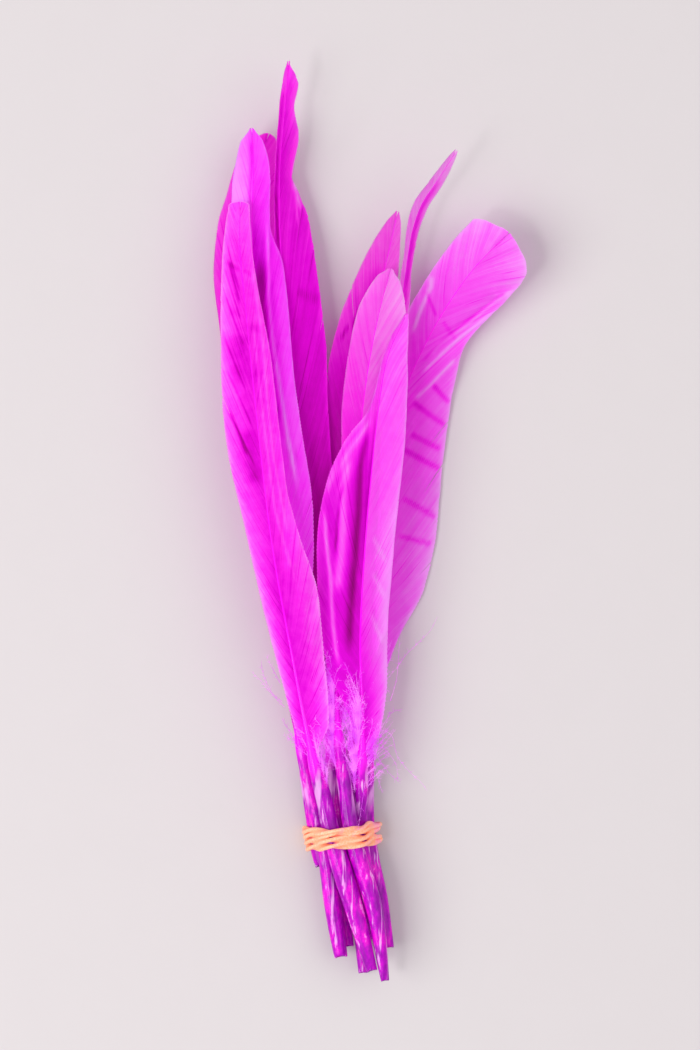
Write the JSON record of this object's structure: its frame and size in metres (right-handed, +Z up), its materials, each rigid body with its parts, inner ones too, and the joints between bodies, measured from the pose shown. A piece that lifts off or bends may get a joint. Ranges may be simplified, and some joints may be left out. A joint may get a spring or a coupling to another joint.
{
  "type": "tied bunch of goose quill feathers",
  "caption": "Loose bunch of magenta-dyed goose quill feathers lying flat, their cut quill ends packed together and held by a wound rubber band.",
  "frame": {"origin": "middle of the footprint, on the surface that the bunch lies on", "axes": "+Y along the bunch from the cut quill ends to the feather tips, +Z up from the surface"},
  "size_m": [0.0674, 0.1996, 0.0173],
  "materials": {
    "vane": "soft matt dyed feather barbs, the keratin standing in as leather",
    "quill": "glossy dyed horn-like quill, mottled purple",
    "down": "pale lilac fluff",
    "rubber": "matt peach-orange natural rubber"
  },
  "bodies": {
    "root": {"feather_front_left": "vane", "feather_upper_left": "vane", "feather_back_left": "vane", "feather_tall": "vane", "feather_centre": "vane", "feather_front_centre": "vane", "feather_back_centre": "vane", "feather_curled": "vane", "feather_right": "vane", "rubber_band": "rubber"}
  },
  "joints": []
}
